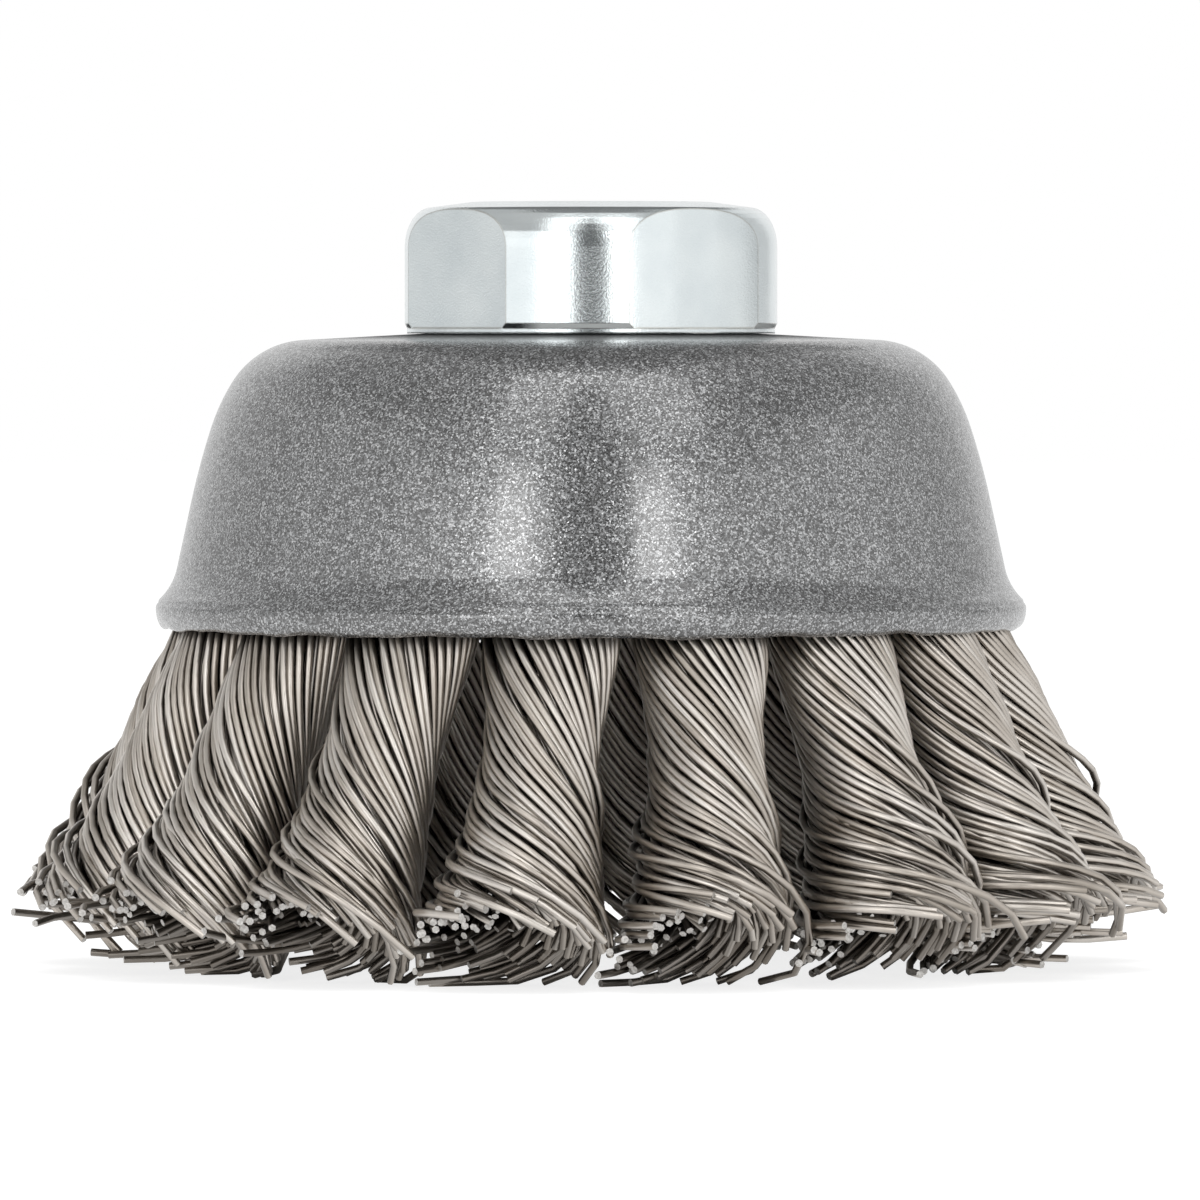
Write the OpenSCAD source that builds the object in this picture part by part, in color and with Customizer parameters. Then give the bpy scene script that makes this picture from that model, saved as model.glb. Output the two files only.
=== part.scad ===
// Knotted wire cup brush for an angle grinder.
// The spindle axis is Z, the tips of the wires stand on z = 0, and the nut is on top.

/* [Spindle nut] */
// Major diameter of the spindle thread
thread_d = 14; // [10:1:16]
// Width across the wrench flats
nut_flats = 22; // [20:0.5:24]
// Diameter of the round body that the flats are cut on
nut_d = 24.4; // [23:0.1:27]
// Height of the nut above the cup
nut_h = 8.6; // [6:0.1:14]
// Number of wrench flats
nut_sides = 4; // [4:2:6]
// Direction that one wrench flat faces, from the front to the right
nut_turn = 37.5; // [0:0.5:90]
// Width of the rounding round the top edge, measured inwards
nut_edge_w = 1.75; // [0.5:0.05:2]
// Depth of the rounding round the top edge, measured down
nut_edge_h = 2.6; // [1:0.1:4]
// Rise of the top face from the rounding to the bore
nut_crown = 0.35; // [0:0.05:0.8]
// Height of the turned collar under the flats
collar_h = 0.35; // [0.2:0.05:1]
// How far the collar stays inside the round body
collar_in = 0.15; // [0:0.05:0.5]
// Width of the bevel between the wrench body and the collar
nut_bevel_w = 0.15; // [0.1:0.05:0.8]
// Height of that bevel
nut_bevel_h = 0.3; // [0.2:0.1:1.5]
// Countersink at both ends of the thread
thread_bevel = 0.8; // [0.3:0.1:1.5]
// Wall of the shank round the thread, where it goes through the holder plate
shank_wall = 2.4; // [2:0.1:3.5]
// Step from the shank up to the shoulder that carries the holder plate
shoulder_w = 1.3; // [0.8:0.1:2]
// Width of the lip that is rolled over the retaining ring
swage_w = 1.1; // [0.6:0.1:2]
// Height of the rolled lip
swage_h = 0.9; // [0.5:0.1:1.5]

/* [Cup] */
// Diameter of the rolled rim of the cup
rim_d = 57; // [54:0.5:60]
// Height of the cup, from the rim to its top at the nut
cup_h = 19.3; // [17:0.1:24]
// Thickness of the pressed sheet
sheet_t = 1.2; // [0.8:0.1:1.5]
// Slope of the top of the cup
top_slope = 3; // [1:0.5:8]
// Slope of the side wall from the vertical
wall_slope = 12.2; // [10:0.2:15]
// Radius of the slightly curved upper part of the side wall
side_r = 50; // [40:1:60]
// Slope where that part meets the shoulder
side_slope = 18; // [16:0.5:22]
// Radius of the lower half of the shoulder
haunch_r = 13.6; // [10:0.2:16]
// Slope between the two halves of the shoulder
haunch_slope = 32; // [26:0.5:40]
// Radius of the upper half of the shoulder
shoulder_r = 5.8; // [4:0.1:8]
// How far the rim stands out from the foot of the side wall
rim_out = 1.39; // [1.2:0.01:1.6]
// Height of the foot of the side wall above the rim
foot_h = 3.97; // [3.8:0.01:4.4]
// Radius of the hollow curve from the side wall to the rolled band of the rim
flare_r = 4; // [3:0.1:5]
// Sweep of that curve
flare_sweep = 35; // [30:1:38]
// Thickness of the metal at the rim
rim_t = 1.2; // [1:0.05:1.3]
// Rounding of the band, measured inwards
band_w = 0.6; // [0.4:0.05:0.8]
// Rounding of the band above its widest part
band_up = 0.5; // [0.3:0.05:0.5]
// Rounding of the band below its widest part
band_down = 1.35; // [1.1:0.05:1.4]

/* [Holder plate] */
// Height of the plate above the rim of the cup
plate_rise = 5.3; // [5:0.1:7]
// Thickness of the plate
plate_t = 2.5; // [2:0.1:3.5]
// Gap between the plate and the wall of the cup
plate_gap = 0.25; // [0.1:0.05:0.6]
// Metal left between two holes
hole_web = 2.5; // [1.5:0.1:3.5]
// Metal left between a hole and the edge of the plate
hole_edge = 0.85; // [0.5:0.05:1.5]
// Width of the retaining ring under the plate
ring_w = 4; // [2:0.1:5]
// Thickness of the retaining ring
ring_t = 1.5; // [1:0.1:2]

/* [Knots] */
// Number of wire knots
knot_count = 16; // [10:1:16]
// Angle of the first knot, from the front to the right
knot_turn = -5.5; // [-11:0.5:11]
// Diameter of the circle of wire tips
tip_d = 75; // [72:0.5:80]
// Length of the knots below the rim of the cup
trim_h = 22.2; // [18:0.1:26]
// Turn of the wires from the plate to the tips
knot_twist = 300; // [180:10:400]
// Strands that show round a knot
strand_count = 12; // [8:2:12]
// Depth of the grooves between strands, as a share of the half width
groove = 0.11; // [0.04:0.01:0.16]
// How far the tips of a knot lean to the left of its hole, seen from outside
knot_lean = 2; // [0:0.1:2.5]
// Half width round the cup at the rim
rim_half = 4.4; // [3.6:0.1:4.5]
// Half depth of a knot at the rim, from inside to outside
rim_deep = 3.1; // [2.6:0.05:3.3]
// Half width at the waist
waist_half = 3.65; // [3.2:0.05:4]
// Height of the waist above the tips
waist_z = 15.5; // [13:0.5:18]
// Half depth at the tips, from inside to outside
tip_deep = 6.4; // [5:0.1:7]
// Slope of the trimmed face at the tips
face_tilt = 25; // [15:1:30]
// Power of the curve by which a knot opens below its waist
flare_power = 1.7; // [1.2:0.1:2.5]
// Height of the folded wires above the plate
fold_h = 3.6; // [2:0.1:4.5]

/* [Clearances] */
// Between turned or pressed pieces that fit round each other
fit_gap = 0.1; // [0.05:0.05:0.3]
// Between a knot and the hole that it fills
hole_gap = 0.15; // [0.1:0.05:0.4]
// Between two neighbouring knots at their tips
knot_gap = 0.3; // [0.2:0.1:1]

/* [Hidden] */
$fn = 96;
ARC_STEPS = 8;
BAND_FROM = 44;
LEVELS = 10;
LEVEL_POWER = 0.68;
BODY_POWER = 0.85;
TWIST_POWER = 1.9;
TIP_FILL = 0.985;
FOLD_END = 0.55;
FOLD_EDGE = 0.6;
CUT = 1;

// Heights, from the tips up
rim_z = trim_h;
plate_z = rim_z + plate_rise;
plate_top = plate_z + plate_t;
ring_z = plate_z - ring_t;
shank_z = ring_z - swage_h;
cup_top = rim_z + cup_h;
nut_top = cup_top + nut_h;

// Radii
bore_r = thread_d / 2;
shank_r = bore_r + shank_wall;
hub_r = shank_r + shoulder_w;
rim_r = rim_d / 2;
foot_r = rim_r - rim_out;
foot_z = rim_z + foot_h;
sheet_side = sheet_t / cos(wall_slope);
function wall_at(z) = foot_r - (z - foot_z) * tan(wall_slope);
plate_r = wall_at(plate_top) - sheet_side - plate_gap;

// Knots
knot_step = 360 / knot_count;
hole_ring = (plate_r - hole_edge + hole_web / 2) / (1 + sin(knot_step / 2));
hole_r = hole_ring * sin(knot_step / 2) - hole_web / 2;
neck_half = hole_r - hole_gap;
tip_z = tip_deep * sin(face_tilt);
tip_ring = tip_d / 2 - tip_deep * cos(face_tilt);
tip_half = (tip_ring * sin(knot_step / 2) - knot_gap / 2) * TIP_FILL;
fold_half = hole_r + fit_gap;

KNOTS = ["knot_01", "knot_02", "knot_03", "knot_04", "knot_05", "knot_06", "knot_07", "knot_08",
         "knot_09", "knot_10", "knot_11", "knot_12", "knot_13", "knot_14", "knot_15", "knot_16"];

function ease(t) = t * t * (3 - 2 * t);
function mix(a, b, t) = a + (b - a) * t;
function arc(centre, rx, ry, from, to) =
    [for (i = [0:ARC_STEPS]) let (a = mix(from, to, i / ARC_STEPS)) centre + [rx * cos(a), ry * sin(a)]];

// Turned nut with a rounded top edge, wrench flats, a collar on the cup and a shank through the plate
module spindle_nut() {
    body_r = nut_d / 2;
    edge = [body_r - nut_edge_w, nut_top - nut_crown - nut_edge_h];
    color("gainsboro")
    difference() {
        union() {
            intersection() {
                rotate_extrude()
                polygon(concat(
                    [[0, cup_top + collar_h / 2], [body_r - nut_bevel_w, cup_top + collar_h / 2],
                     [body_r - nut_bevel_w, cup_top + collar_h],
                     [body_r, cup_top + collar_h + nut_bevel_h]],
                    arc(edge, nut_edge_w, nut_edge_h, 0, 90),
                    [[bore_r + thread_bevel, nut_top], [0, nut_top]]));
                rotate([0, 0, nut_turn - 90 + 180 / nut_sides])
                cylinder(d = nut_flats / cos(180 / nut_sides), h = nut_top + CUT, $fn = nut_sides);
            }
            translate([0, 0, cup_top])
            cylinder(r = body_r - collar_in, h = collar_h);
            translate([0, 0, plate_top])
            cylinder(r = hub_r, h = cup_top - plate_top + collar_h / 2);
            translate([0, 0, ring_z - swage_h / 2])
            cylinder(r = shank_r, h = plate_top - ring_z + swage_h);
            translate([0, 0, shank_z])
            cylinder(r1 = shank_r, r2 = shank_r + swage_w, h = swage_h);
        }
        translate([0, 0, shank_z - CUT])
        cylinder(r = bore_r, h = nut_top - shank_z + 2 * CUT);
        translate([0, 0, nut_top - thread_bevel])
        cylinder(r1 = bore_r, r2 = bore_r + thread_bevel + CUT, h = thread_bevel + CUT);
        translate([0, 0, shank_z - CUT])
        cylinder(r1 = bore_r + thread_bevel + CUT, r2 = bore_r, h = thread_bevel + CUT);
    }
}

// Top, shoulder and side wall of the cup at a depth below its outer surface, from the nut down
function cup_line(depth) =
    let (steep = 90 - top_slope,
         // Each bend has a radius and the slopes at its lower and upper end
         bends = [[side_r, wall_slope, side_slope],
                  [haunch_r, side_slope, haunch_slope],
                  [shoulder_r, haunch_slope, steep]],
         rise = [for (b = bends) b[0] * (sin(b[2]) - sin(b[1]))],
         run = [for (b = bends) b[0] * (cos(b[1]) - cos(b[2]))],
         total_rise = rise[0] + rise[1] + rise[2],
         total_run = run[0] + run[1] + run[2],
         // Height of the straight part of the wall
         straight = (cup_h - foot_h - total_rise - (foot_r - total_run - hub_r) * tan(top_slope))
                    / (1 - tan(wall_slope) * tan(top_slope)),
         bend_r = foot_r - straight * tan(wall_slope),
         bend_z = foot_z + straight,
         starts = [[bend_r, bend_z],
                   [bend_r - run[0], bend_z + rise[0]],
                   [bend_r - run[0] - run[1], bend_z + rise[0] + rise[1]]])
    concat([[hub_r + fit_gap, cup_top - depth / cos(top_slope)]],
           [for (i = [2:-1:0])
            let (b = bends[i], centre = starts[i] - b[0] * [cos(b[1]), sin(b[1])], arm = b[0] - depth)
            each arc(centre, arm, arm, b[2], b[1])],
           [[foot_r - depth / cos(wall_slope), foot_z]]);

// Pressed cup with a flared rim that ends in a rolled band
module cup() {
    flare_centre = [foot_r, foot_z] + flare_r * [cos(wall_slope), sin(wall_slope)];
    flare = arc(flare_centre, flare_r, flare_r, 180 + wall_slope, 180 + wall_slope + flare_sweep);
    band_centre = [rim_r - band_w, rim_z + band_down];
    band = concat(arc(band_centre, band_w, band_up, BAND_FROM, 0),
                  arc(band_centre, band_w, band_down, 0, -90));
    inside = cup_line(sheet_t);
    rim_inside = [[rim_r - rim_t, rim_z + rim_t / 4], [rim_r - rim_t, band_centre[1]]];
    color("darkgray")
    rotate_extrude()
    polygon(concat(cup_line(0), flare, band, rim_inside,
                   [for (i = [len(inside) - 1:-1:0]) inside[i]]));
}

// Flat plate with one hole for each knot, carried on the shoulder of the nut
module holder_plate() {
    color("dimgray")
    difference() {
        translate([0, 0, plate_z])
        cylinder(r = plate_r, h = plate_t);
        translate([0, 0, plate_z - CUT])
        cylinder(r = shank_r + fit_gap, h = plate_t + 2 * CUT);
        for (i = [0:knot_count - 1])
            rotate([0, 0, knot_turn + i * knot_step])
            translate([0, -hole_ring, plate_z - CUT])
            cylinder(r = hole_r, h = plate_t + 2 * CUT);
    }
}

// Ring between the plate and the rolled lip of the nut
module retaining_ring() {
    color("silver")
    translate([0, 0, ring_z])
    difference() {
        cylinder(r = shank_r + ring_w, h = ring_t);
        translate([0, 0, -CUT])
        cylinder(r = shank_r + fit_gap, h = ring_t + 2 * CUT);
    }
}

// Place along a knot, 0 at the underside of the plate and 1 at the tips
function place_of(z) = (plate_z - z) / (plate_z - tip_z);
rim_u = place_of(rim_z);
waist_u = place_of(waist_z);

// Half width at a place, from its values at the hole, the rim, the waist and the tips
function half_at(u, rim, waist, tip) =
    u < rim_u ? mix(neck_half, rim, ease(u / rim_u))
    : u < waist_u ? mix(rim, waist, ease((u - rim_u) / (waist_u - rim_u)))
    : mix(waist, tip, pow((u - waist_u) / (1 - waist_u), flare_power));

// One point on the ring of a knot round a centre: every second point lies in a groove
function ring_point(k, wide, deep, centre, tilt, turn, cut) =
    let (a = 180 * k / strand_count + 90 + turn,
         s = k % 2 == 0 ? 1 : 1 - cut,
         out = s * deep * sin(a))
    centre + [s * wide * cos(a), -out * cos(tilt), out * sin(tilt)];

function ring_points(wide, deep, centre, tilt, turn, cut) =
    [for (k = [0:2 * strand_count - 1]) ring_point(k, wide, deep, centre, tilt, turn, cut)];

function level_points(i) =
    let (u = pow(i / LEVELS, LEVEL_POWER),
         centre = [-knot_lean * u * u, -mix(hole_ring, tip_ring, pow(u, BODY_POWER)), mix(plate_z, tip_z, u)],
         turn = knot_twist * (1 - pow(u, TWIST_POWER)))
    ring_points(half_at(u, rim_half, waist_half, tip_half), half_at(u, rim_deep, waist_half, tip_deep),
                centre, face_tilt * min(1, 2 * u), turn, groove * min(1, 4 * u));

// Twisted bundle: folded wires above the plate, a neck in the hole, and strands that open to the tips
module knot(i) {
    seat = plate_top + fit_gap / 2;
    smooth = [[fold_half * FOLD_END, plate_top + fold_h],
              [fold_half, plate_top + fold_h * FOLD_EDGE],
              [fold_half, seat],
              [neck_half, seat]];
    points = concat(
        [for (s = smooth) each ring_points(s[0], s[0], [0, -hole_ring, s[1]], 0, knot_twist, 0)],
        [for (j = [0:LEVELS]) each level_points(j)]);
    n = 2 * strand_count;
    rings = len(points) / n;
    walls = [for (j = [0:rings - 2], k = [0:n - 1])
             let (a = j * n + k, b = j * n + (k + 1) % n)
             each [[a, b, b + n], [a, b + n, a + n]]];
    top = [for (k = [n - 1:-1:0]) k];
    face = [for (k = [0:n - 1]) (rings - 1) * n + k];
    color("rosybrown")
    rotate([0, 0, knot_turn + i * knot_step])
    polyhedron(points = points, faces = concat([top, face], walls), convexity = 6);
}

spindle_nut();
cup();
holder_plate();
retaining_ring();
for (i = [0:len(KNOTS) - 1])
    knot(i);
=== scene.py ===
"""Knotted wire cup brush, seen nearly level from the front, on a white studio floor."""
import math

import bpy
import numpy as np
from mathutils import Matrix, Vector

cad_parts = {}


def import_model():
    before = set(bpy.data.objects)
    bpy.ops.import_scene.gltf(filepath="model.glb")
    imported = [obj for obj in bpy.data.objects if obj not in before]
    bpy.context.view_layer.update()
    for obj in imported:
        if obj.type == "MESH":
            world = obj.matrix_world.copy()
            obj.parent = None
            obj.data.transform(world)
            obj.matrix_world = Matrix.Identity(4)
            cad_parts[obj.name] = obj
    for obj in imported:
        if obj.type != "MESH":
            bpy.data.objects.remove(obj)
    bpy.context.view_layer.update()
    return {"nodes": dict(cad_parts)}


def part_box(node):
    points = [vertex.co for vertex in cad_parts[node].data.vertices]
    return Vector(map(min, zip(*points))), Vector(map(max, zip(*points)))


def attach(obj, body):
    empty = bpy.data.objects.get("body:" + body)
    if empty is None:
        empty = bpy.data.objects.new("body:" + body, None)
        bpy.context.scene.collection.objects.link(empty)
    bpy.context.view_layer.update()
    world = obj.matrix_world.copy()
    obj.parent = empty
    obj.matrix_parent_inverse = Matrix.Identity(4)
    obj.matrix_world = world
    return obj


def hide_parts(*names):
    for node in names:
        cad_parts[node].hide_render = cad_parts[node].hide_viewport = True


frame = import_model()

MM = 0.001

# Camera: the photograph's frame is 1200 pixels square and its eye level is near the top of the cup
PHOTO_PX = 1200
PX = 0.0655 * MM
AXIS_X_PX = 591.0
FLOOR_Y_PX = 967.0
EYE_Y_PX = 320.0
CAMERA_FAR = 850 * MM
CAMERA_CLIP = 20
SENSOR_MM = 36.0

# Heights and radii of the fixed pieces, read from the frame
CUP_LOW, CUP_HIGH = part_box("cup")
PLATE_LOW, PLATE_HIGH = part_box("holder_plate")
NUT_LOW, NUT_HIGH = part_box("spindle_nut")
RIM_Z = CUP_LOW.z
RIM_R = CUP_HIGH.x
CUP_TOP = CUP_HIGH.z
PLATE_Z = PLATE_LOW.z
PLATE_TOP = PLATE_HIGH.z
PLATE_R = PLATE_HIGH.x

# Knots, laid out like those of the solids. HALF is across the knot, DEEP is away from the axis
KNOT_COUNT = 16
KNOT_TURN = math.radians(-5.5)
KNOT_TWIST = math.radians(300)
KNOT_LEAN = 2.0 * MM
FACE_TILT = math.radians(25)
TILT_BY = 0.5
HALF_STEP = math.sin(math.pi / KNOT_COUNT)
HOLE_OUT = 0.4 * MM
HOLE_RING = (PLATE_R + HOLE_OUT) / (1 + HALF_STEP)
NECK_IN = 1.4 * MM
NECK_HALF = HOLE_RING * HALF_STEP - NECK_IN
RIM_HALF = 4.4 * MM
RIM_DEEP = 3.1 * MM
WAIST_HALF = 3.65 * MM
WAIST_Z = 15.5 * MM
TIP_HALF = 6.3 * MM
TIP_DEEP = 6.4 * MM
TIP_R = 37.5 * MM
TIP_Z = TIP_DEEP * math.sin(FACE_TILT)
TIP_RING = TIP_R - TIP_DEEP * math.cos(FACE_TILT)
FLARE_POWER = 1.7
BODY_POWER = 0.85
TWIST_POWER = 1.95
FOLD_H = 3.6 * MM
FOLD_FROM = 0.55
FOLD_NARROW = 0.45
WIRE_R = 0.25 * MM
CORE_RECESS = 0.05
CORE_LAYER = 4
RING_POWER = 0.75

# Wires in each layer of a knot, from the outside in: count, share of the half width, sides, rings, start
LAYERS = [
    (36, 0.945, 8, 30, -0.24),
    (31, 0.815, 6, 26, -0.24),
    (25, 0.680, 6, 14, 0.45),
    (19, 0.545, 6, 12, 0.55),
    (13, 0.405, 6, 10, 0.65),
    (7, 0.250, 6, 10, 0.65),
    (2, 0.080, 6, 10, 0.65),
]

# Chance in the knots and in where a wire lies, as spreads round the plain value
KNOT_SEED = 100
KNOT_SPREAD = 0.03
LEAN_SPREAD = 0.35 * MM
PLACE_SPREAD = 0.13
SHARE_SPREAD = 0.012
WAVE_SPREAD = 0.011
WAVE_SIZES = (1, 0.6)
WAVE_CYCLES = (5, 13)

# Loose ends: mean and spread of the trim and of the opening, and how the wires part towards the tips
TRIM = (-0.008, 0.02)
TRIM_LIMITS = (-0.06, 0.03)
LOOSE = (0.02, 0.06)
LOOSE_FROM = 0.6
LOOSE_POWER = 1.5
END_TURN = 0.17
END_RISE = 0.25 * MM

# Swell of every wire, bulge of a few, and strays that stick out: lowest and highest values
SWELL_SPREAD = 0.012
SWELL_AT = (0.3, 0.7)
SWELL_LONG = 0.2
BULGE_LAYERS, BULGE_CHANCE = 2, 0.2
BULGE_HIGH = (0.05, 0.24)
BULGE_AT = (0.6, 0.86)
BULGE_LONG = (0.09, 0.16)
STRAY_LAYERS, STRAY_CHANCE = 3, 0.06
STRAY_END = (1.02, 1.07)
STRAY_LOOSE = (0.1, 0.3)

# The wires bend softly where they would pass below the ground
REST_Z = WIRE_R * 1.05
REST_SOFT = 0.3 * MM

# Painted shade round a wire, on its inward side where it lies against the others, less towards the tips
CREVICE_SHADE_SPREAD = 1.25
CREVICE_SHADE_POWER = 1.3
CREVICE_SHADE_FADE = 0.35
FADE_FROM = 0.72

# Profile of the cup, from the nut to the foot of the wall: slopes in degrees below level
SHEET_T = 1.2 * MM
CUP_HOLE_R = 10.8 * MM
TOP_FROM_R = 10.7 * MM
TOP_SLOPE = 3.0
SHOULDER_R = 18.85 * MM
WALL_SLOPE = 77.8
# Turns of the shoulder: from slope, to slope, radius in millimetres, steps
SHOULDER_TURNS = [(3, 58, 5.8, 16), (58, 72, 13.6, 8), (72, WALL_SLOPE, 50, 8)]
FOOT_IN = 1.39 * MM
FOOT_UP = 3.97 * MM
FLARE_R = 4 * MM
FLARE_SLOPE = 42.8
FLARE_STEPS = 10

# Rolled band at the rim of the cup, and the small waves in its lip
BAND_W = 0.6 * MM
BAND_UP = 0.5 * MM
BAND_DOWN = 1.35 * MM
BAND_FROM = 44
BAND_TO = -90
BAND_STEPS = 17
RIM_T = 1.2 * MM
CUP_SEGMENTS = 360
LIP_SEED = 5
LIP_WAVES = (7, 11, 17, 26, 38, 57)
LIP_WAVE_H = 0.045 * MM
LIP_PHASE = 6.28
LIP_H = 0.9 * MM

# Thread in the nut: its ridge grows out of the bore over the run-out steps
THREAD_PITCH = 2.0 * MM
THREAD_STEPS = 72
RUN_OUT_STEPS = 30
THREAD_LOW = 1.5 * MM
THREAD_HIGH = 1.4 * MM
ROOT_R = 7.05 * MM
RUN_OUT_R = 7.01 * MM
CREST_R = 5.95 * MM
RUN_OUT_NARROW = 0.5
ROOT_HALF = 0.87 * MM
CREST_HALF = 0.25 * MM


def mix(a, b, t):
    return a + (b - a) * t


def ease(t):
    t = np.clip(t, 0, 1)
    return t * t * (3 - 2 * t)


def place_of(z):
    """Place along a knot, 0 at the underside of the plate and 1 at the tips."""
    return (PLATE_Z - z) / (PLATE_Z - TIP_Z)


def half_at(u, rim, waist, tip):
    """Half width of a knot at a place, from its values at the rim, the waist and the tips."""
    rim_u = place_of(RIM_Z)
    waist_u = place_of(WAIST_Z)
    above = mix(NECK_HALF, rim, ease(u / rim_u))
    middle = mix(rim, waist, ease((u - rim_u) / (waist_u - rim_u)))
    below = mix(waist, tip, np.clip((u - waist_u) / (1 - waist_u), 0, None) ** FLARE_POWER)
    return np.where(u < rim_u, above, np.where(u < waist_u, middle, below))


def fold_shrink(u):
    """Narrowing of the folded wires above the plate."""
    top_u = place_of(PLATE_TOP + FOLD_H)
    return 1 - FOLD_NARROW * ease((u - FOLD_FROM * top_u) / ((1 - FOLD_FROM) * top_u))


def wire_path(u, share, angle, rng, knot, bulge, loose):
    """Centre line of one wire, and the direction away from the middle of the knot along it."""
    depth = np.clip(u, 0, None)
    low = np.clip((u - LOOSE_FROM) / (1 - LOOSE_FROM), 0, None)
    wide = half_at(u, RIM_HALF, WAIST_HALF, TIP_HALF * knot["open"]) * fold_shrink(u)
    deep = half_at(u, RIM_DEEP, WAIST_HALF, TIP_DEEP) * fold_shrink(u)
    wave = rng.normal(0, WAVE_SPREAD, 2) * np.array(WAVE_SIZES)
    spread = loose * low**LOOSE_POWER
    spread += bulge[0] * np.exp(-(((u - bulge[1]) / bulge[2]) ** 2))
    for i, cycles in enumerate(WAVE_CYCLES):
        spread += wave[i] * np.sin(cycles * u + (i + 1) * angle)
    share = share * (1 + spread)
    twist = KNOT_TWIST * knot["twist"] * (1 - depth**TWIST_POWER)
    a = angle + twist - rng.normal(0, END_TURN) * low**2
    out = deep * share * np.sin(a)
    tilt = FACE_TILT * np.clip(u / TILT_BY, 0, 1)
    ring = mix(HOLE_RING, TIP_RING, depth**BODY_POWER)
    z = mix(PLATE_Z, TIP_Z, u) + rng.normal(0, END_RISE) * low
    lean = (KNOT_LEAN + knot["lean"]) * depth**2
    points = [-lean + wide * share * np.cos(a), -(ring + out * np.cos(tilt)), z + out * np.sin(tilt)]
    points = np.stack(points, 1)
    away = np.stack([np.cos(a), -np.sin(a) * np.cos(tilt), np.sin(a) * np.sin(tilt)], 1)
    points[:, 2] = REST_Z + REST_SOFT * np.logaddexp(0, (points[:, 2] - REST_Z) / REST_SOFT)
    return points, away


def tube(points, away, sides, radius):
    """Rings of a round tube along points: an array of rings by sides by 3."""
    along = np.gradient(points, axis=0)
    along /= np.linalg.norm(along, axis=1, keepdims=True)
    first = away - (away * along).sum(1, keepdims=True) * along
    first /= np.linalg.norm(first, axis=1, keepdims=True)
    second = np.cross(along, first)
    t = 2 * math.pi * np.arange(sides) / sides
    circle = first[:, None] * np.cos(t)[None, :, None] + second[:, None] * np.sin(t)[None, :, None]
    return points[:, None] + radius * circle


def add_object(name, data):
    obj = bpy.data.objects.new(name, data)
    bpy.context.scene.collection.objects.link(obj)
    return obj


class TubeMesh:
    """Collects tubes into one mesh, with a tone for each, painted shade where they touch, and a slot for cut
    ends.
    """

    def __init__(self):
        self.verts = []
        self.loops = []
        self.sizes = []
        self.slots = []
        self.tones = []
        self.crevice_shades = []
        self.count = 0

    def add(self, rings, tone, fade):
        steps, sides, _ = rings.shape
        t = 2 * math.pi * np.arange(sides) / sides
        # Painted shade on the wire's inward side, less of it towards the tips
        crevice_shade = np.clip((1 - np.cos(t)) / CREVICE_SHADE_SPREAD, 0, 1)[None, :] ** CREVICE_SHADE_POWER
        crevice_shade = crevice_shade * (1 - CREVICE_SHADE_FADE * fade)[:, None]
        grid = self.count + np.arange(steps * sides).reshape(steps, sides)
        nxt = np.roll(grid, -1, axis=1)
        quads = np.stack([grid[:-1], nxt[:-1], nxt[1:], grid[1:]], -1).reshape(-1)
        self.verts.append(rings.reshape(-1, 3))
        self.loops.append(quads)
        self.sizes += [4] * ((steps - 1) * sides)
        self.slots += [0] * ((steps - 1) * sides)
        self.count += steps * sides
        for end, flip in ((0, -1), (-1, 1)):
            cap = self.count + np.arange(sides)
            self.verts.append(rings[end])
            self.loops.append(cap[::flip])
            self.sizes.append(sides)
            self.slots.append(1)
            self.count += sides
        self.tones.append(np.full((steps + 2) * sides, tone))
        self.crevice_shades.append(np.concatenate([crevice_shade.reshape(-1), np.zeros(2 * sides)]))

    def build(self, name, turn):
        """The mesh as an object, turned round Z."""
        verts = np.concatenate(self.verts)
        c, s = math.cos(turn), math.sin(turn)
        x, y = verts[:, 0].copy(), verts[:, 1].copy()
        verts[:, 0] = c * x - s * y
        verts[:, 1] = s * x + c * y
        loops = np.concatenate(self.loops).astype(np.int32)
        sizes = np.array(self.sizes, np.int32)
        starts = np.concatenate([[0], np.cumsum(sizes)[:-1]]).astype(np.int32)
        mesh = bpy.data.meshes.new(name)
        mesh.vertices.add(len(verts))
        mesh.vertices.foreach_set("co", verts.reshape(-1).astype(np.float32))
        mesh.loops.add(len(loops))
        mesh.loops.foreach_set("vertex_index", loops)
        mesh.polygons.add(len(sizes))
        mesh.polygons.foreach_set("loop_start", starts)
        mesh.polygons.foreach_set("material_index", np.array(self.slots, np.int32))
        mesh.polygons.foreach_set("use_smooth", np.array(self.slots) == 0)
        for key, values in (("tone", self.tones), ("crevice_shade", self.crevice_shades)):
            layer = mesh.attributes.new(key, "FLOAT", "POINT")
            layer.data.foreach_set("value", np.concatenate(values).astype(np.float32))
        mesh.update(calc_edges=True)
        mesh.validate()
        return add_object(name, mesh)


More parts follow.
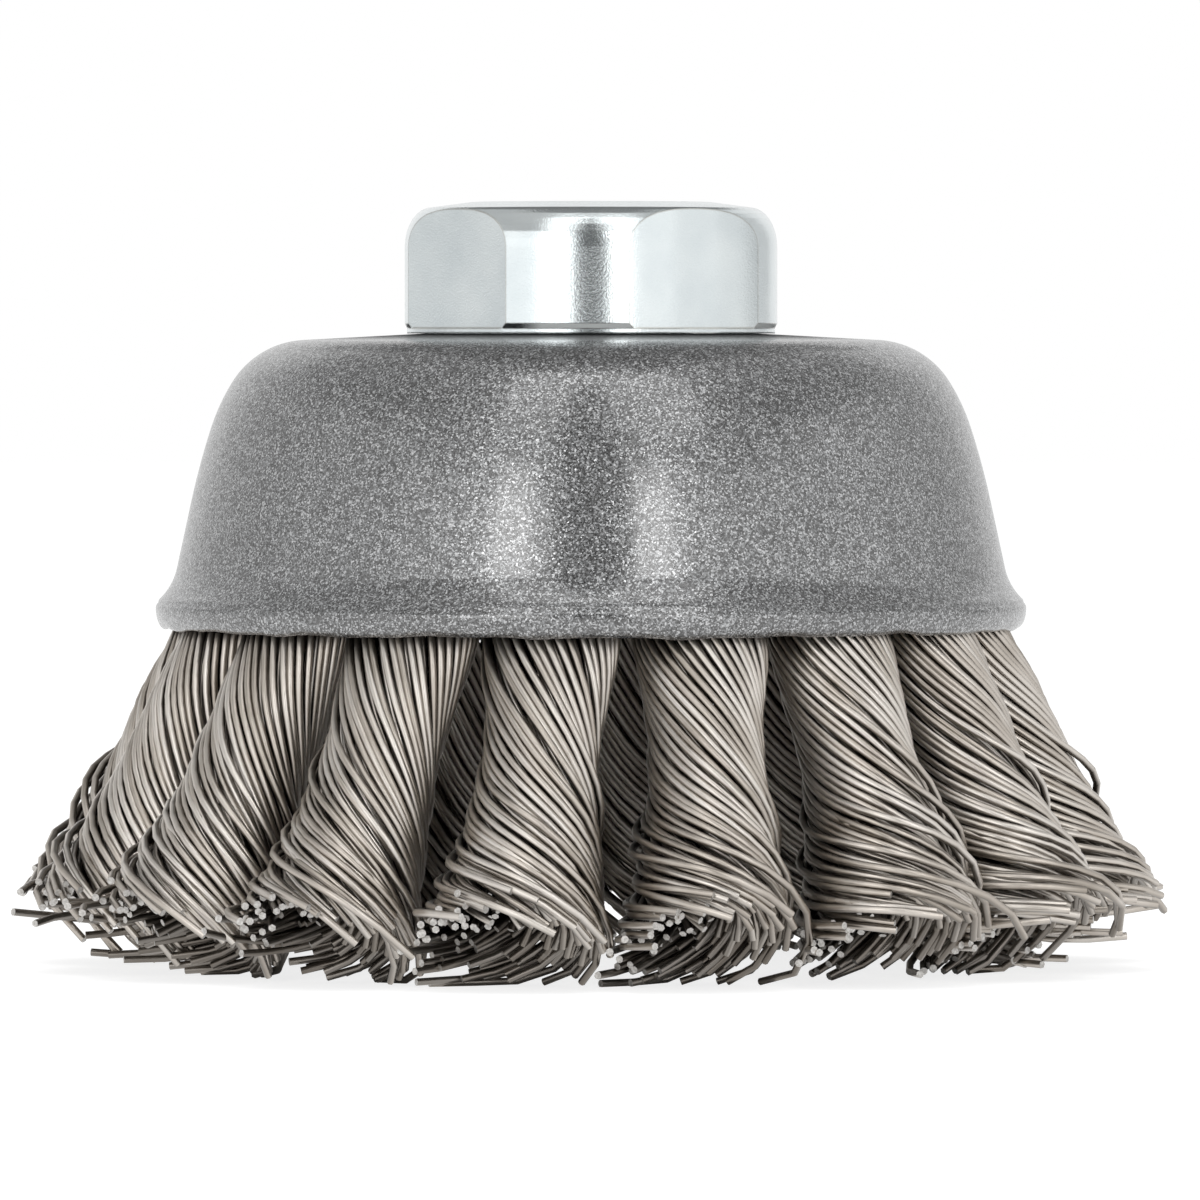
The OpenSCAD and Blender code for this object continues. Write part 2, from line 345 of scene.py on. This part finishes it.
def wire_knot(index, wire_mat, cut_mat):
    rng = np.random.default_rng(KNOT_SEED + index)
    mesh = TubeMesh()
    phase = rng.uniform(0, 2 * math.pi)
    knot = {
        "open": rng.normal(1, KNOT_SPREAD),
        "twist": rng.normal(1, KNOT_SPREAD),
        "lean": rng.normal(0, LEAN_SPREAD),
    }
    for layer, (count, share, sides, rings, start) in enumerate(LAYERS):
        offset = rng.uniform(0, 2 * math.pi)
        for k in range(count):
            angle = phase + offset + 2 * math.pi * (k + rng.normal(0, PLACE_SPREAD)) / count
            recess = CORE_RECESS * min(layer, CORE_LAYER) / CORE_LAYER
            end = 1 + float(np.clip(rng.normal(*TRIM), *TRIM_LIMITS)) - recess
            loose = rng.normal(*LOOSE)
            bulge = (rng.normal(0, SWELL_SPREAD), rng.uniform(*SWELL_AT), SWELL_LONG)
            if layer < BULGE_LAYERS and rng.random() < BULGE_CHANCE:
                bulge = (rng.uniform(*BULGE_HIGH), rng.uniform(*BULGE_AT), rng.uniform(*BULGE_LONG))
            if layer < STRAY_LAYERS and rng.random() < STRAY_CHANCE:
                end = rng.uniform(*STRAY_END)
                loose = rng.uniform(*STRAY_LOOSE)
            u = mix(start, end, np.linspace(0, 1, rings) ** RING_POWER)
            own_share = share * (1 + rng.normal(0, SHARE_SPREAD))
            points, away = wire_path(u, own_share, angle, rng, knot, bulge, loose)
            # The painted shade fades towards the tips
            fade = np.clip((u - FADE_FROM) / (1 - FADE_FROM), 0, 1)
            mesh.add(tube(points, away, sides, WIRE_R), rng.random(), fade)
    name = f"knot_{index + 1:02d}"
    obj = mesh.build("wires_" + name, KNOT_TURN + index * 2 * math.pi / KNOT_COUNT)
    obj.data.materials.append(wire_mat)
    obj.data.materials.append(cut_mat)
    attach(obj, "root")
    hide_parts(name)


# Pressed cup and thread


def arc_line(start, from_deg, to_deg, radius, steps):
    """Points along an arc, with their directions of travel: 0 is outwards and 90 is down."""
    turn = math.copysign(1, to_deg - from_deg)
    found = []
    for i in range(1, steps + 1):
        a0, a1 = math.radians(from_deg), math.radians(mix(from_deg, to_deg, i / steps))
        r = start[0] + turn * radius * (math.sin(a1) - math.sin(a0))
        z = start[1] - turn * radius * (math.cos(a0) - math.cos(a1))
        found.append((r, z, math.degrees(a1)))
    return found


def lathe(name, profile, segments):
    """Turns a closed profile of radius and height round Z. The lowest points wave a little."""
    profile = np.array(profile)
    turn = 2 * math.pi * np.arange(segments) / segments
    low = np.clip(1 - (profile[:, 1] - RIM_Z) / LIP_H, 0, 1)
    wave = np.zeros(segments)
    rng = np.random.default_rng(LIP_SEED)
    for cycles in LIP_WAVES:
        wave += rng.normal(0, LIP_WAVE_H) * np.sin(cycles * turn + rng.uniform(0, LIP_PHASE))
    verts = np.empty((segments, len(profile), 3))
    verts[:, :, 0] = profile[:, 0] * np.cos(turn)[:, None]
    verts[:, :, 1] = profile[:, 0] * np.sin(turn)[:, None]
    verts[:, :, 2] = profile[:, 1] + low * wave[:, None]
    count = len(profile)
    faces = []
    for i in range(segments):
        j = (i + 1) % segments
        for k in range(count):
            m = (k + 1) % count
            faces.append((i * count + k, i * count + m, j * count + m, j * count + k))
    mesh = bpy.data.meshes.new(name)
    mesh.from_pydata(verts.reshape(-1, 3).tolist(), [], faces)
    mesh.polygons.foreach_set("use_smooth", [True] * len(faces))
    mesh.update()
    return add_object(name, mesh)


def cup_shell(mat):
    """The cup of the solids with finer rounds and the uneven lip of the photograph."""
    slope = math.tan(math.radians(TOP_SLOPE))
    line = [
        (CUP_HOLE_R, CUP_TOP, TOP_SLOPE),
        (SHOULDER_R, CUP_TOP - (SHOULDER_R - TOP_FROM_R) * slope, TOP_SLOPE),
    ]
    for start, end, radius, steps in SHOULDER_TURNS:
        line += arc_line(line[-1][:2], start, end, radius * MM, steps)
    foot = (RIM_R - FOOT_IN, RIM_Z + FOOT_UP)
    for t in (0.5, 1.0):
        line.append((mix(line[-1][0], foot[0], t), mix(line[-1][1], foot[1], t), WALL_SLOPE))
    inside = []
    for r, z, a in line:
        inside.append((r - SHEET_T * math.sin(math.radians(a)), z - SHEET_T * math.cos(math.radians(a))))
    line += arc_line(line[-1][:2], WALL_SLOPE, FLARE_SLOPE, FLARE_R, FLARE_STEPS)
    outside = [(r, z) for r, z, a in line]
    centre = (RIM_R - BAND_W, RIM_Z + BAND_DOWN)
    for i in range(BAND_STEPS + 1):
        a = math.radians(mix(BAND_FROM, BAND_TO, i / BAND_STEPS))
        tall = BAND_UP if a > 0 else BAND_DOWN
        outside.append((centre[0] + BAND_W * math.cos(a), centre[1] + tall * math.sin(a)))
    outside += [(RIM_R - RIM_T, RIM_Z + RIM_T / 4), (RIM_R - RIM_T, centre[1])]
    obj = lathe("cup_shell", outside + inside[::-1], CUP_SEGMENTS)
    obj.data.materials.append(mat)
    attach(obj, "root")
    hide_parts("cup")


def spindle_thread(mat):
    """The ridge of the thread in the bore of the nut, with a run-out at both ends."""
    low, high = NUT_LOW.z + THREAD_LOW, NUT_HIGH.z - THREAD_HIGH
    total = int((high - low) / THREAD_PITCH * THREAD_STEPS)
    verts, faces = [], []
    for i in range(total + 1):
        a = 2 * math.pi * i / THREAD_STEPS
        z = low + THREAD_PITCH * i / THREAD_STEPS
        grow = min(1, i / RUN_OUT_STEPS, (total - i) / RUN_OUT_STEPS)
        crest = mix(RUN_OUT_R, CREST_R, grow)
        section = [(ROOT_R, -ROOT_HALF), (crest, -CREST_HALF), (crest, CREST_HALF), (ROOT_R, ROOT_HALF)]
        for r, dz in section:
            verts.append((r * math.cos(a), r * math.sin(a), z + dz * mix(RUN_OUT_NARROW, 1, grow)))
        if i:
            b = 4 * i
            for k in range(4):
                m = (k + 1) % 4
                faces.append((b - 4 + k, b + k, b + m, b - 4 + m))
    faces += [(0, 1, 2, 3), (4 * total + 3, 4 * total + 2, 4 * total + 1, 4 * total)]
    mesh = bpy.data.meshes.new("thread")
    mesh.from_pydata(verts, [], faces)
    mesh.update()
    obj = add_object("thread", mesh)
    obj.data.materials.append(mat)
    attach(obj, "root")


# Materials

# Colours along a ramp: place and colour
WIRE_TONES = [(0.3, (0.34, 0.303, 0.26)), (0.65, (0.52, 0.474, 0.422)), (1.0, (0.68, 0.638, 0.588))]
CUT_TONES = [(0.3, (0.4, 0.385, 0.365)), (0.7, (0.66, 0.645, 0.62))]
PAINT_TONES = [
    (0.0, (0.045, 0.045, 0.045)),
    (0.45, (0.115, 0.115, 0.115)),
    (0.75, (0.24, 0.245, 0.25)),
    (1.0, (0.52, 0.525, 0.53)),
]
ZINC_TONES = [(0.3, (0.6, 0.65, 0.665)), (0.7, (0.71, 0.755, 0.76))]
PLATE_TONES = [(0.3, (0.33, 0.325, 0.32)), (0.7, (0.52, 0.515, 0.51))]
# Dark colour of the painted shade between the wires
CREVICE_SHADE_COLOUR = (0.045, 0.037, 0.03, 1)
# Pale matt zinc that paints light on the bevel over the collar
PAINTED_LIGHT_ZINC = (0.86, 0.89, 0.89, 1)
EDGE_BROWN = (0.33, 0.3, 0.25, 1)

# Noise in each metal: fineness and detail
WIRE_STAIN = (260.0, 3.0)
CUT_GRAIN = (6000.0, 2.0)
ZINC_CLOUD = (220.0, 5.0)
ZINC_GRAIN = (7000.0, 3.0)
PLATE_CLOUD = (300.0, 6.0)

# Roughness, lowest and highest
WIRE_ROUGH = (0.27, 0.43)
CUT_ROUGH = 0.5
PAINT_ROUGH = (0.21, 0.33)
ZINC_ROUGH = (0.12, 0.25)
PLATE_ROUGH = (0.3, 0.5)

# Wire: share of each wire's own tone in its colour
OWN_TONE = 0.55

# Paint: flakes per metre, how far they lie askew, and the painted shade, darker and duller, round the nut
FLAKES = 10500.0
ASKEW = 0.22
CORNER_R = 12.5 * MM
OPEN_R = 19.5 * MM
NUT_SHADE_SHARE = 0.15
NUT_SHADE_DULL = 0.4
VARNISH = 0.32
VARNISH_ROUGH = 0.12
VARNISH_IOR = 2.3
PAINT_METAL = 0.72
PAINT_GLOSS = 0.5

# Zinc: the way that the flat on the front right faces, and how close to it the crown sets in
RIGHT_FLAT = (0.6088, -0.7934, 0.0)
CROWN_FACING = (0.985, 0.998)
CROWN_SHARE = 0.9

# Bevel over the collar, painted light in pale matt zinc: how far down it faces, and where it sets in across
# the nut
PAINTED_LIGHT_FACING = (-0.15, -0.35)
PAINTED_LIGHT_X = (-4.6 * MM, -3.2 * MM)
PAINTED_LIGHT_SHARE = 0.85

# Edges of the nut: softened radius, agreement of the softened and the true normal where a line shows
EDGE_ROUND = 0.18 * MM
EDGE_SAMPLES = 6
EDGE_FACING = (0.997, 0.977)
EDGE_SHARE = 0.6
GRAIN_STRENGTH = 0.5
GRAIN_DEEP = 0.016 * MM

# Factor that leaves only what is level of a vector, and the span of noise and chance
LEVEL = (1.0, 1.0, 0.0)
UNIT = (0.0, 1.0)


def material(name):
    mat = bpy.data.materials.new(name)
    mat.use_nodes = True
    nodes = mat.node_tree.nodes
    nodes.clear()
    out = nodes.new("ShaderNodeOutputMaterial")
    shader = nodes.new("ShaderNodeBsdfPrincipled")
    mat.node_tree.links.new(shader.outputs[0], out.inputs[0])
    return mat, mat.node_tree, shader


def node(tree, kind, **values):
    """A node with its plain properties and its sockets set by name."""
    made = tree.nodes.new(kind)
    for key, value in values.items():
        if hasattr(made, key):
            setattr(made, key, value)
        else:
            made.inputs[key.replace("_", " ")].default_value = value
    return made


def feed(tree, source, socket):
    """Links a socket to another one, or sets a plain value on it."""
    if isinstance(source, bpy.types.NodeSocket):
        tree.links.new(source, socket)
    else:
        socket.default_value = source


def maths(tree, operation, *sources):
    made = node(tree, "ShaderNodeMath", operation=operation)
    for source, socket in zip(sources, made.inputs):
        feed(tree, source, socket)
    return made.outputs[0]


def vectors(tree, operation, *sources):
    """A vector operation on sockets or plain vectors. SCALE takes its factor second."""
    made = node(tree, "ShaderNodeVectorMath", operation=operation)
    feed(tree, sources[0], made.inputs[0])
    if len(sources) > 1:
        feed(tree, sources[1], made.inputs["Scale" if operation == "SCALE" else 1])
    return made.outputs["Value" if operation in ("LENGTH", "DOT_PRODUCT") else 0]


def spans(tree, source, from_low, from_high, to_low, to_high, **values):
    """Maps a value from one span to another, and stops at the ends."""
    made = node(tree, "ShaderNodeMapRange", **values)
    names = ("Value", "From Min", "From Max", "To Min", "To Max")
    for key, value in zip(names, (source, from_low, from_high, to_low, to_high)):
        feed(tree, value, made.inputs[key])
    return made.outputs[0]


def ramp(tree, source, stops):
    made = tree.nodes.new("ShaderNodeValToRGB")
    elements = made.color_ramp.elements
    while len(elements) < len(stops):
        elements.new(0.5)
    for element, (at, colour) in zip(elements, stops):
        element.position = at
        element.color = (*colour, 1)
    tree.links.new(source, made.inputs[0])
    return made.outputs[0]


def mixed(tree, factor, below, above):
    """One colour over another, by a factor."""
    made = node(tree, "ShaderNodeMix", data_type="RGBA")
    for key, source in (("Factor", factor), ("A", below), ("B", above)):
        feed(tree, source, made.inputs[key])
    return made.outputs["Result"]


def noise(tree, coords, scale, detail):
    """Noise in the object's own coordinates."""
    made = node(tree, "ShaderNodeTexNoise", Scale=scale, Detail=detail)
    tree.links.new(coords, made.inputs["Vector"])
    return made.outputs["Fac"]


def object_coords(tree):
    return node(tree, "ShaderNodeTexCoord").outputs["Object"]


def wire_material():
    mat, tree, shader = material("drawn_steel_wire")
    shader.inputs["Metallic"].default_value = 1.0
    tone = node(tree, "ShaderNodeAttribute", attribute_name="tone").outputs["Fac"]
    crevice_shade = node(tree, "ShaderNodeAttribute", attribute_name="crevice_shade").outputs["Fac"]
    stain = noise(tree, object_coords(tree), *WIRE_STAIN)
    colour = ramp(tree, maths(tree, "MULTIPLY_ADD", tone, OWN_TONE, stain), WIRE_TONES)
    # Painted shade darkens each wire where it lies against the others
    feed(tree, mixed(tree, crevice_shade, colour, CREVICE_SHADE_COLOUR), shader.inputs["Base Color"])
    feed(tree, spans(tree, stain, *UNIT, *WIRE_ROUGH), shader.inputs["Roughness"])
    return mat


def cut_material():
    mat, tree, shader = material("sheared_wire_end")
    shader.inputs["Metallic"].default_value = 1.0
    shader.inputs["Roughness"].default_value = CUT_ROUGH
    grain = noise(tree, object_coords(tree), *CUT_GRAIN)
    feed(tree, ramp(tree, grain, CUT_TONES), shader.inputs["Base Color"])
    return mat


def paint_material():
    mat, tree, shader = material("metal_flake_paint")
    shader.inputs["Coat Roughness"].default_value = VARNISH_ROUGH
    shader.inputs["Coat IOR"].default_value = VARNISH_IOR
    coords = object_coords(tree)
    flake = node(tree, "ShaderNodeTexVoronoi", Scale=FLAKES, feature="F1")
    feed(tree, coords, flake.inputs["Vector"])
    split = node(tree, "ShaderNodeSeparateColor")
    feed(tree, flake.outputs["Color"], split.inputs[0])
    colour = ramp(tree, split.outputs[0], PAINT_TONES)
    # Painted shade in the corner round the nut: the paint there is darker, less metallic and duller, with
    # less varnish. The full values also stay on the sockets, for an export that can't follow the nodes
    radius = vectors(tree, "LENGTH", vectors(tree, "MULTIPLY", coords, LEVEL))
    painted_nut_shade = spans(tree, radius, CORNER_R, OPEN_R, NUT_SHADE_SHARE, 1.0, interpolation_type="SMOOTHSTEP")
    feed(tree, vectors(tree, "SCALE", colour, painted_nut_shade), shader.inputs["Base Color"])
    nut_shade_sockets = (("Coat Weight", VARNISH), ("Metallic", PAINT_METAL), ("Specular IOR Level", PAINT_GLOSS))
    for key, full in nut_shade_sockets:
        shader.inputs[key].default_value = full
        feed(tree, maths(tree, "MULTIPLY", painted_nut_shade, full), shader.inputs[key])
    rough = spans(tree, split.outputs[1], *UNIT, *PAINT_ROUGH)
    dull = spans(tree, painted_nut_shade, NUT_SHADE_SHARE, 1.0, NUT_SHADE_DULL, 0.0)
    feed(tree, maths(tree, "ADD", rough, dull), shader.inputs["Roughness"])
    # Each flake lies a little askew
    shape = tree.nodes.new("ShaderNodeNewGeometry")
    chance = node(tree, "ShaderNodeTexWhiteNoise")
    feed(tree, flake.outputs["Position"], chance.inputs["Vector"])
    centred = vectors(tree, "SUBTRACT", chance.outputs["Color"], (0.5, 0.5, 0.5))
    leaning = vectors(tree, "ADD", vectors(tree, "SCALE", centred, ASKEW), shape.outputs["Normal"])
    feed(tree, vectors(tree, "NORMALIZE", leaning), shader.inputs["Normal"])
    return mat


def zinc_material():
    mat, tree, shader = material("zinc_plated_steel")
    # This value is for an export that can't follow the nodes, which lower it where light is painted on the
    # bevel
    shader.inputs["Metallic"].default_value = 1.0
    coords = object_coords(tree)
    colour = ramp(tree, noise(tree, coords, *ZINC_CLOUD), ZINC_TONES)
    grain = noise(tree, coords, *ZINC_GRAIN)
    feed(tree, spans(tree, grain, *UNIT, *ZINC_ROUGH), shader.inputs["Roughness"])
    edge = tree.nodes.new("ShaderNodeBevel")
    edge.samples = EDGE_SAMPLES
    edge.inputs["Radius"].default_value = EDGE_ROUND
    normal = tree.nodes.new("ShaderNodeNewGeometry").outputs["Normal"]
    # The flat on the front right is worn to a slight crown
    facing = vectors(tree, "DOT_PRODUCT", normal, RIGHT_FLAT)
    radial = vectors(tree, "NORMALIZE", vectors(tree, "MULTIPLY", coords, LEVEL))
    crown = node(tree, "ShaderNodeMix", data_type="VECTOR")
    feed(tree, spans(tree, facing, *CROWN_FACING, 0.0, CROWN_SHARE), crown.inputs["Factor"])
    feed(tree, edge.outputs[0], crown.inputs[4])
    feed(tree, radial, crown.inputs[5])
    bump = node(tree, "ShaderNodeBump", Strength=GRAIN_STRENGTH, Distance=GRAIN_DEEP)
    feed(tree, crown.outputs[1], bump.inputs["Normal"])
    feed(tree, grain, bump.inputs["Height"])
    feed(tree, bump.outputs[0], shader.inputs["Normal"])
    # Painted light: the turned bevel over the collar is pale and matt, up to the corner of the left flat
    faces = node(tree, "ShaderNodeSeparateXYZ")
    feed(tree, normal, faces.inputs[0])
    place = node(tree, "ShaderNodeSeparateXYZ")
    feed(tree, coords, place.inputs[0])
    under = spans(tree, faces.outputs["Z"], *PAINTED_LIGHT_FACING, 0.0, 1.0)
    beside = spans(tree, place.outputs["X"], *PAINTED_LIGHT_X, 0.0, PAINTED_LIGHT_SHARE)
    painted_light = maths(tree, "MULTIPLY", under, beside)
    feed(tree, maths(tree, "SUBTRACT", 1.0, painted_light), shader.inputs["Metallic"])
    # A thin brown line shows along the sharp edges
    along = vectors(tree, "DOT_PRODUCT", edge.outputs[0], normal)
    line = spans(tree, along, *EDGE_FACING, 0.0, EDGE_SHARE)
    plain = mixed(tree, painted_light, colour, PAINTED_LIGHT_ZINC)
    feed(tree, mixed(tree, line, plain, EDGE_BROWN), shader.inputs["Base Color"])
    return mat


def plate_material():
    mat, tree, shader = material("bare_plate_steel")
    shader.inputs["Metallic"].default_value = 1.0
    cloud = noise(tree, object_coords(tree), *PLATE_CLOUD)
    feed(tree, ramp(tree, cloud, PLATE_TONES), shader.inputs["Base Color"])
    feed(tree, spans(tree, cloud, *UNIT, *PLATE_ROUGH), shader.inputs["Roughness"])
    return mat


def dress(name, mat):
    """Gives a CAD node a material of its own."""
    obj = frame["nodes"][name]
    obj.data.materials.clear()
    obj.data.materials.append(mat)


# Studio

# Soft boxes: name, azimuth, elevation, distance, width, height, power. Without an elevation, a box is
# upright and stands on the floor. Azimuth is from the camera to the right, as seen from above the object
LIGHTS = [
    ("strip_left", -21.5, None, 0.78, 0.27, 0.38, 0.54),
    ("strip_right", 20.5, None, 0.78, 0.22, 0.38, 0.45),
    ("spot_left", -22.5, 24, 0.7, 0.12, 0.11, 0.12),
    ("spot_right", 18, 24, 0.7, 0.12, 0.11, 0.12),
    ("box_left", -22, 55, 0.8, 0.24, 0.62, 0.56),
    ("box_right", 25, 55, 0.8, 0.32, 0.62, 0.74),
    ("wing_left", -45, None, 0.9, 0.42, 0.5, 0.26),
    ("wing_right", 46, None, 0.9, 0.5, 0.5, 0.2),
    ("wing_far", 78, None, 0.9, 0.5, 0.5, 0.09),
    ("box_top", 0, 80, 0.8, 0.6, 0.6, 2.6),
]
UNSEEN_LIGHT = "box_top"
LIGHT_AIM = Vector((0, 0, 0.03))

# Cards that only reflections see: name, grey, corners. The dark ones draw the stripes in the middle of the
# nut and the cup and the dark foot of the nut, and the pale ones draw its grey sides
CARDS = [
    ("front_card", 0.05, [(-0.14, -0.8, -0.02), (0.14, -0.8, -0.02), (0.14, -0.8, 0.6), (-0.14, -0.8, 0.6)]),
    ("ceiling_card", 0.75, [(-1.6, -1.6, 1.1), (1.6, -1.6, 1.1), (1.6, 1.2, 1.1), (-1.6, 1.2, 1.1)]),
    ("side_left", 1.0, [(-1.5, 0.25, -0.02), (-0.9, 1.3, -0.02), (-0.9, 1.3, 1.0), (-1.5, 0.25, 1.0)]),
    ("side_right", 0.93, [(1.4, 0.6, -0.02), (0.9, 1.3, -0.02), (0.9, 1.3, 1.0), (1.4, 0.6, 1.0)]),
    ("gap_card", 0.02, [(-0.08, -0.8, 0.6), (0.07, -0.8, 0.6), (0.06, -0.25, 0.95), (-0.05, -0.25, 0.95)]),
    ("back_card", 0.2, [(-0.2, 0.75, 0.4), (0.2, 0.75, 0.4), (0.2, 0.0, 0.95), (-0.2, 0.0, 0.95)]),
]

# Disc just over the floor under the brush, for the shade that a white floor doesn't show in reflections
UNDER_R = 28 * MM
UNDER_Z = 0.05 * MM
UNDER_CORNERS = 48
UNDER_GREY = 0.8

# Strength of the white world as a light, and greys and glow of the floor
WORLD_LIGHT = 0.75
FLOOR_HALF = 3.0
FLOOR_GREY = (0.85, 0.85, 0.85, 1)
FLOOR_SHADED = (0.3, 0.3, 0.3, 1)
FLOOR_GLOW = 0.8
WHITE = (1, 1, 1, 1)


def look_at(obj, target):
    obj.rotation_euler = (Vector(target) - obj.location).to_track_quat("-Z", "Y").to_euler()


def camera():
    data = bpy.data.cameras.new("camera")
    data.sensor_width = SENSOR_MM
    data.lens = SENSOR_MM * CAMERA_FAR / (PHOTO_PX * PX)
    data.clip_end = CAMERA_CLIP
    cam = add_object("camera", data)
    aim = Vector(((PHOTO_PX / 2 - AXIS_X_PX) * PX, 0, (FLOOR_Y_PX - PHOTO_PX / 2) * PX))
    rise = (PHOTO_PX / 2 - EYE_Y_PX) * PX
    cam.location = (aim.x, -CAMERA_FAR, aim.z + rise)
    look_at(cam, aim)
    bpy.context.scene.camera = cam


def area_light(name, azimuth, elevation, far, width, height, power):
    data = bpy.data.lights.new(name, "AREA")
    data.shape = "RECTANGLE"
    data.size = width
    data.size_y = height
    data.energy = power
    obj = add_object(name, data)
    az, el = math.radians(azimuth), math.radians(elevation or 0)
    way = Vector((math.sin(az) * math.cos(el), -math.cos(az) * math.cos(el), math.sin(el)))
    aim = LIGHT_AIM if elevation is not None else Vector((0, 0, height / 2))
    obj.location = aim + far * way
    look_at(obj, aim)
    obj.visible_camera = False
    obj.visible_glossy = name != UNSEEN_LIGHT


def white_for_sight(tree, out, plain, white):
    """White where the camera, a reflection or a glass sees it, and the plain shader for other light."""
    path = tree.nodes.new("ShaderNodeLightPath").outputs
    seen = maths(tree, "MAXIMUM", path["Is Camera Ray"], path["Is Glossy Ray"])
    both = maths(tree, "MAXIMUM", seen, path["Is Transmission Ray"])
    mixer = tree.nodes.new("ShaderNodeMixShader")
    for source, socket in zip((both, plain.outputs[0], white.outputs[0]), mixer.inputs):
        feed(tree, source, socket)
    feed(tree, mixer.outputs[0], out.inputs[0])


def world():
    scene_world = bpy.data.worlds.new("studio")
    bpy.context.scene.world = scene_world
    scene_world.use_nodes = True
    tree = scene_world.node_tree
    tree.nodes.clear()
    out = tree.nodes.new("ShaderNodeOutputWorld")
    dim = node(tree, "ShaderNodeBackground", Color=WHITE, Strength=WORLD_LIGHT)
    white = node(tree, "ShaderNodeBackground", Color=WHITE, Strength=1.0)
    white_for_sight(tree, out, dim, white)


def floor():
    h = FLOOR_HALF
    mesh = bpy.data.meshes.new("floor")
    mesh.from_pydata([(-h, -h, 0), (h, -h, 0), (h, h, 0), (-h, h, 0)], [], [(0, 1, 2, 3)])
    obj = add_object("floor", mesh)
    mat = bpy.data.materials.new("floor_white")
    mat.use_nodes = True
    tree = mat.node_tree
    tree.nodes.clear()
    out = tree.nodes.new("ShaderNodeOutputMaterial")
    plain = node(tree, "ShaderNodeBsdfDiffuse", Color=FLOOR_GREY)
    shaded = node(tree, "ShaderNodeBsdfDiffuse", Color=FLOOR_SHADED)
    glow = node(tree, "ShaderNodeEmission", Color=WHITE, Strength=FLOOR_GLOW)
    both = tree.nodes.new("ShaderNodeAddShader")
    feed(tree, shaded.outputs[0], both.inputs[0])
    feed(tree, glow.outputs[0], both.inputs[1])
    white_for_sight(tree, out, plain, both)
    obj.data.materials.append(mat)


def card(name, grey, corners):
    """A card of one grey that only reflections see."""
    mesh = bpy.data.meshes.new(name)
    mesh.from_pydata(corners, [], [tuple(range(len(corners)))])
    obj = add_object(name, mesh)
    mat = bpy.data.materials.new(name)
    mat.use_nodes = True
    mat.node_tree.nodes["Principled BSDF"].inputs["Base Color"].default_value = (grey, grey, grey, 1)
    obj.data.materials.append(mat)
    obj.visible_camera = False
    obj.visible_diffuse = False
    obj.visible_shadow = False


def under_card():
    turns = [2 * math.pi * i / UNDER_CORNERS for i in range(UNDER_CORNERS)]
    corners = [(UNDER_R * math.cos(a), UNDER_R * math.sin(a), UNDER_Z) for a in turns]
    card("under_card", UNDER_GREY, corners)


bpy.context.scene.view_settings.view_transform = "Standard"
camera()
world()
floor()
for values in LIGHTS:
    area_light(*values)
for values in CARDS:
    card(*values)
under_card()

zinc = zinc_material()
paint = paint_material()
bare = plate_material()
dress("spindle_nut", zinc)
dress("cup", paint)
dress("holder_plate", bare)
dress("retaining_ring", bare)
cup_shell(paint)
spindle_thread(zinc)

wires, cuts = wire_material(), cut_material()
for index in range(KNOT_COUNT):
    wire_knot(index, wires, cuts)
